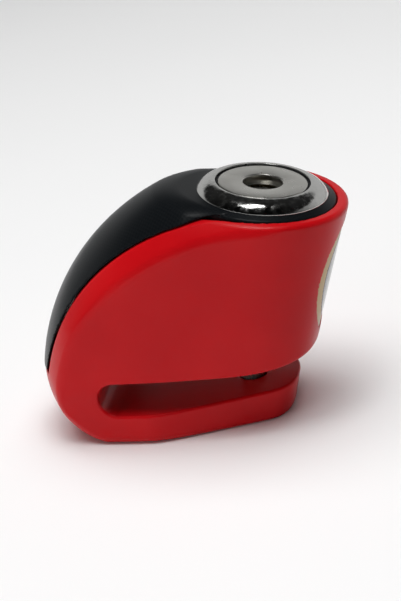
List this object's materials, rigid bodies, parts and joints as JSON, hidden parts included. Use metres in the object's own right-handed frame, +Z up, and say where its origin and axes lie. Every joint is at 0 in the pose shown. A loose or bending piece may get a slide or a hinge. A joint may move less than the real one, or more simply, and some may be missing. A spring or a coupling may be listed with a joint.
{
  "type": "disc brake lock",
  "caption": "Motorcycle disc brake lock: slotted painted casting, spine cover, chrome bezel, and a push-down key barrel that drives a pin across the slot.",
  "frame": {"origin": "centre of the part's bounding box in the plan view, on the flat underside of the jaw", "axes": "+X out of the open end of the slot, +Y across the width, +Z up, square to the slot"},
  "size_m": [0.0634, 0.032, 0.0478],
  "materials": {
    "red_paint": "gloss",
    "black_cover": "semi-gloss, fine check weave",
    "chrome": "polished",
    "barrel_nickel": "satin",
    "seal_rubber": "matt",
    "core_brass": "turned",
    "hard_steel": "ground",
    "spring_steel": "drawn",
    "badge_gold": "polished, pale",
    "badge_grey": "gloss"
  },
  "bodies": {
    "casing": {"body": "red_paint", "spine_cover": "black_cover", "badge_ring": "badge_gold", "badge_insert": "badge_grey", "bezel_ring": "chrome", "barrel_seal": "seal_rubber", "pin_guide_bush": "hard_steel", "main_spring": "spring_steel", "stop_screw": "hard_steel"},
    "barrel": {"barrel_housing": "barrel_nickel", "lock_pin": "hard_steel", "pin_cross_pin": "hard_steel", "latch_spring": "spring_steel"},
    "core": {"core_drum": "core_brass", "sidebar": "hard_steel", "guard_disc": "hard_steel", "detainer_disc_1": "core_brass", "detainer_disc_2": "core_brass", "detainer_disc_3": "core_brass", "detainer_disc_4": "core_brass", "detainer_disc_5": "core_brass", "detainer_disc_6": "core_brass", "detainer_disc_7": "core_brass", "disc_spacer_1": "hard_steel", "disc_spacer_2": "hard_steel", "disc_spacer_3": "hard_steel", "disc_spacer_4": "hard_steel", "disc_spacer_5": "hard_steel", "disc_spacer_6": "hard_steel"},
    "latch": {"latch_bolt": "hard_steel"}
  },
  "joints": [
    {"name": "barrel_slide", "type": "slide", "parent": "casing", "child": "barrel", "axis": [0.1908, 0, 0.9816], "range_m": [0, 0.0105], "deforming": ["main_spring"]},
    {"name": "core_turn", "type": "hinge", "parent": "barrel", "child": "core", "pos_m": [0.00886, 0, 0.0063], "axis": [0.1908, 0, 0.9816], "range_deg": [0, 90]},
    {"name": "latch_slide", "type": "slide", "parent": "barrel", "child": "latch", "axis": [0.9816, 0, -0.1908], "range_m": [0, 0.00156], "deforming": ["latch_spring"]}
  ],
  "couplings": [
    {"joint": "latch_slide", "follows": "core_turn", "m_per_rad": 0.000993}
  ]
}
